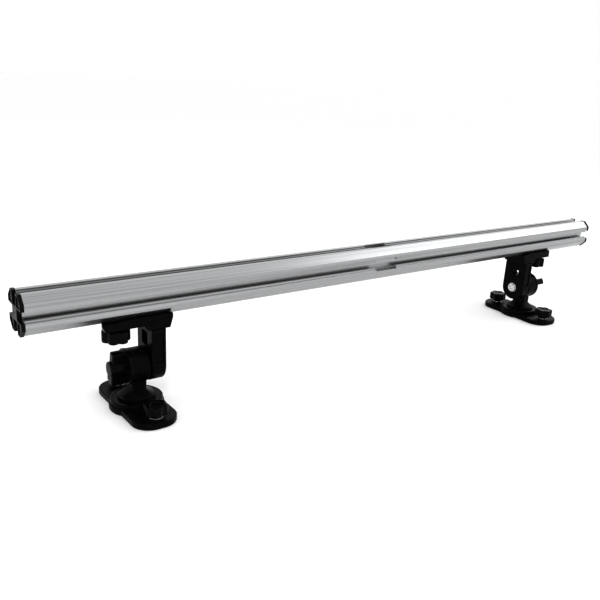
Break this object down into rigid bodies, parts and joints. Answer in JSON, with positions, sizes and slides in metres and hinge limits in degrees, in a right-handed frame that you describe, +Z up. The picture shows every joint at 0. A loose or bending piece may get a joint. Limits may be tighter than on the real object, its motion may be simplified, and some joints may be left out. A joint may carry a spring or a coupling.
{
  "type": "bed cargo bar",
  "caption": "T-slot aluminium crossbar on two sliding, tilting and swivelling clamp feet with lobed hand knobs, for carrying loads over a truck or trailer bed.",
  "frame": {"origin": "on the surface under the rubber pads, below the middle of the bar", "axes": "+X along the bar, +Y across it to the rear, +Z up"},
  "size_m": [1.344, 0.1844, 0.2163],
  "materials": {
    "anodised_aluminium": "satin clear anodised, drawn lengthwise",
    "cap_plastic": "satin moulded black",
    "cast_black": "satin black powder coat on a die casting",
    "knob_plastic": "semi-gloss moulded black",
    "zinc_steel": "bright zinc plated",
    "black_screw_steel": "black oxide",
    "brass_insert": "turned",
    "nylon_washer": "matte",
    "pad_rubber": "matte moulded"
  },
  "bodies": {
    "bar": {"bar_extrusion": "anodised_aluminium", "left_end_cap": "cap_plastic", "left_end_cap_screw": "black_screw_steel", "right_end_cap": "cap_plastic", "right_end_cap_screw": "black_screw_steel"},
    "left_foot": {"left_saddle": "cast_black", "left_upright_screws": "zinc_steel", "left_upright": "cast_black", "left_tee_bolt": "zinc_steel", "left_clamp_washer": "zinc_steel", "left_pivot_bolt": "zinc_steel", "left_pivot_head_washer": "zinc_steel", "left_friction_washer": "nylon_washer"},
    "left_clamp_knob": {"left_clamp_knob": "knob_plastic", "left_clamp_knob_insert": "brass_insert"},
    "left_post": {"left_swivel_post": "cast_black", "left_swivel_bolt": "zinc_steel", "left_swivel_washer": "zinc_steel"},
    "left_pivot_knob": {"left_pivot_knob": "knob_plastic", "left_pivot_knob_insert": "brass_insert", "left_pivot_knob_cap": "knob_plastic"},
    "left_base": {"left_base_plate": "cast_black", "left_base_pad": "pad_rubber", "left_base_washers": "zinc_steel"},
    "left_front_base_knob": {"left_front_base_knob": "knob_plastic", "left_front_base_stud": "zinc_steel"},
    "left_rear_base_knob": {"left_rear_base_knob": "knob_plastic", "left_rear_base_stud": "zinc_steel"},
    "right_foot": {"right_saddle": "cast_black", "right_upright_screws": "zinc_steel", "right_upright": "cast_black", "right_tee_bolt": "zinc_steel", "right_clamp_washer": "zinc_steel", "right_pivot_bolt": "zinc_steel", "right_pivot_head_washer": "zinc_steel", "right_friction_washer": "nylon_washer"},
    "right_clamp_knob": {"right_clamp_knob": "knob_plastic", "right_clamp_knob_insert": "brass_insert"},
    "right_post": {"right_swivel_post": "cast_black", "right_swivel_bolt": "zinc_steel", "right_swivel_washer": "zinc_steel"},
    "right_pivot_knob": {"right_pivot_knob": "knob_plastic", "right_pivot_knob_insert": "brass_insert", "right_pivot_knob_cap": "knob_plastic"},
    "right_base": {"right_base_plate": "cast_black", "right_base_pad": "pad_rubber", "right_base_washers": "zinc_steel"},
    "right_front_base_knob": {"right_front_base_knob": "knob_plastic", "right_front_base_stud": "zinc_steel"},
    "right_rear_base_knob": {"right_rear_base_knob": "knob_plastic", "right_rear_base_stud": "zinc_steel"}
  },
  "joints": [
    {"name": "left_foot_slide", "type": "slide", "parent": "bar", "child": "left_foot", "axis": [1, 0, 0], "range_m": [-0.105, 0.38]},
    {"name": "left_clamp_knob_turn", "type": "hinge", "parent": "left_foot", "child": "left_clamp_knob", "pos_m": [-0.528, 0, 0.1235], "axis": [0, 0, 1], "continuous": true},
    {"name": "left_tilt", "type": "hinge", "parent": "left_foot", "child": "left_post", "pos_m": [-0.459, 0, 0.0715], "axis": [1, 0, 0], "range_deg": [-90, 90]},
    {"name": "left_pivot_knob_turn", "type": "hinge", "parent": "left_foot", "child": "left_pivot_knob", "pos_m": [-0.519, 0, 0.0715], "axis": [1, 0, 0], "continuous": true},
    {"name": "left_swivel", "type": "hinge", "parent": "left_post", "child": "left_base", "pos_m": [-0.497, 0, 0.01], "axis": [0, 0, 1], "continuous": true},
    {"name": "left_front_base_knob_turn", "type": "hinge", "parent": "left_base", "child": "left_front_base_knob", "pos_m": [-0.49578, -0.06999, 0.02], "axis": [0, 0, 1], "continuous": true},
    {"name": "left_rear_base_knob_turn", "type": "hinge", "parent": "left_base", "child": "left_rear_base_knob", "pos_m": [-0.49822, 0.06999, 0.02], "axis": [0, 0, 1], "continuous": true},
    {"name": "right_foot_slide", "type": "slide", "parent": "bar", "child": "right_foot", "axis": [-1, 0, 0], "range_m": [-0.105, 0.38]},
    {"name": "right_clamp_knob_turn", "type": "hinge", "parent": "right_foot", "child": "right_clamp_knob", "pos_m": [0.515, 0, 0.1235], "axis": [0, 0, 1], "continuous": true},
    {"name": "right_tilt", "type": "hinge", "parent": "right_foot", "child": "right_post", "pos_m": [0.446, 0, 0.0715], "axis": [1, 0, 0], "range_deg": [-90, 90]},
    {"name": "right_pivot_knob_turn", "type": "hinge", "parent": "right_foot", "child": "right_pivot_knob", "pos_m": [0.506, 0, 0.0715], "axis": [1, 0, 0], "continuous": true},
    {"name": "right_swivel", "type": "hinge", "parent": "right_post", "child": "right_base", "pos_m": [0.484, 0, 0.01], "axis": [0, 0, 1], "continuous": true},
    {"name": "right_front_base_knob_turn", "type": "hinge", "parent": "right_base", "child": "right_front_base_knob", "pos_m": [0.47912, -0.06983, 0.02], "axis": [0, 0, 1], "continuous": true},
    {"name": "right_rear_base_knob_turn", "type": "hinge", "parent": "right_base", "child": "right_rear_base_knob", "pos_m": [0.48888, 0.06983, 0.02], "axis": [0, 0, 1], "continuous": true}
  ]
}
